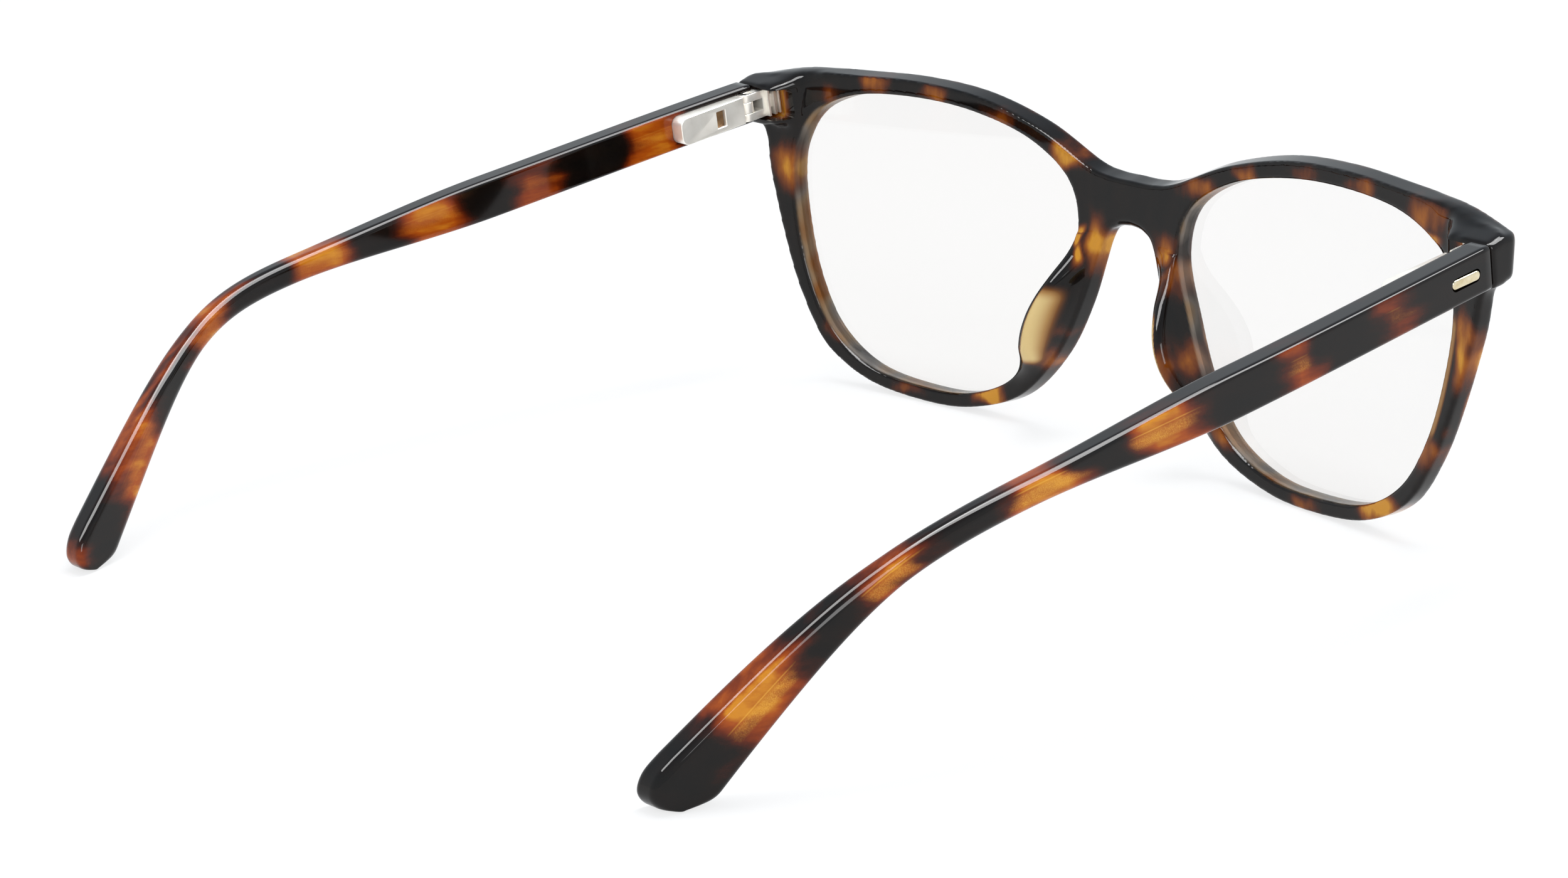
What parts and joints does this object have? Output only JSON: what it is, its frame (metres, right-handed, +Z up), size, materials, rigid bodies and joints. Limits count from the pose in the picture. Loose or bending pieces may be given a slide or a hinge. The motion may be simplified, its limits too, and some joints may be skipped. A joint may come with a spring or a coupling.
{
  "type": "eyeglasses frame",
  "caption": "Full-rim acetate eyeglasses with clear lenses, shaped nose pads and folding temples on sprung hinges, standing open on rims and temple tips.",
  "frame": {"origin": "on the table, under the middle of the open glasses", "axes": "+X to the wearer's left, the front faces -Y and the temples run back along +Y, +Z up"},
  "size_m": [0.1446, 0.1358, 0.0462],
  "materials": {
    "acetate": "polished tortoiseshell cellulose acetate, near-black blotches in amber",
    "lens": "clear polished lens",
    "hinge_steel": "nickel-plated, polished",
    "spring_steel": "drawn wire, bright",
    "core_wire": "bright drawn wire under acetate",
    "inlay_metal": "pale gold plating, polished"
  },
  "bodies": {
    "front": {"front_frame": "acetate", "lens_left": "lens", "lens_right": "lens", "nose_pad_left": "acetate", "nose_pad_right": "acetate", "hinge_yoke_left": "hinge_steel", "hinge_yoke_right": "hinge_steel", "hinge_screw_left": "hinge_steel", "hinge_screw_right": "hinge_steel"},
    "slider_left": {"hinge_slider_left": "hinge_steel", "spring_rod_left": "spring_steel"},
    "temple_left_body": {"temple_left": "acetate", "hinge_box_left": "hinge_steel", "temple_core_left": "core_wire", "temple_inlay_left": "inlay_metal", "spring_stop_left": "hinge_steel", "flex_spring_left": "spring_steel"},
    "slider_right": {"hinge_slider_right": "hinge_steel", "spring_rod_right": "spring_steel"},
    "temple_right_body": {"temple_right": "acetate", "hinge_box_right": "hinge_steel", "temple_core_right": "core_wire", "temple_inlay_right": "inlay_metal", "spring_stop_right": "hinge_steel", "flex_spring_right": "spring_steel"}
  },
  "joints": [
    {"name": "left_fold", "type": "hinge", "parent": "front", "child": "slider_left", "pos_m": [0.0667, -0.05401, 0.03956], "axis": [0, 0.1243, 0.9922], "range_deg": [0, 84]},
    {"name": "left_spring", "type": "slide", "parent": "slider_left", "child": "temple_left_body", "axis": [0, 0.9922, -0.1243], "range_m": [0, 0.0012], "stiffness_N_per_m": 3000, "springref_m": -0.0005, "deforming": ["flex_spring_left"]},
    {"name": "right_fold", "type": "hinge", "parent": "front", "child": "slider_right", "pos_m": [-0.0667, -0.05401, 0.03956], "axis": [0, -0.1243, -0.9922], "range_deg": [0, 71]},
    {"name": "right_spring", "type": "slide", "parent": "slider_right", "child": "temple_right_body", "axis": [0, 0.9922, -0.1243], "range_m": [0, 0.0012], "stiffness_N_per_m": 3000, "springref_m": -0.0005, "deforming": ["flex_spring_right"]}
  ]
}
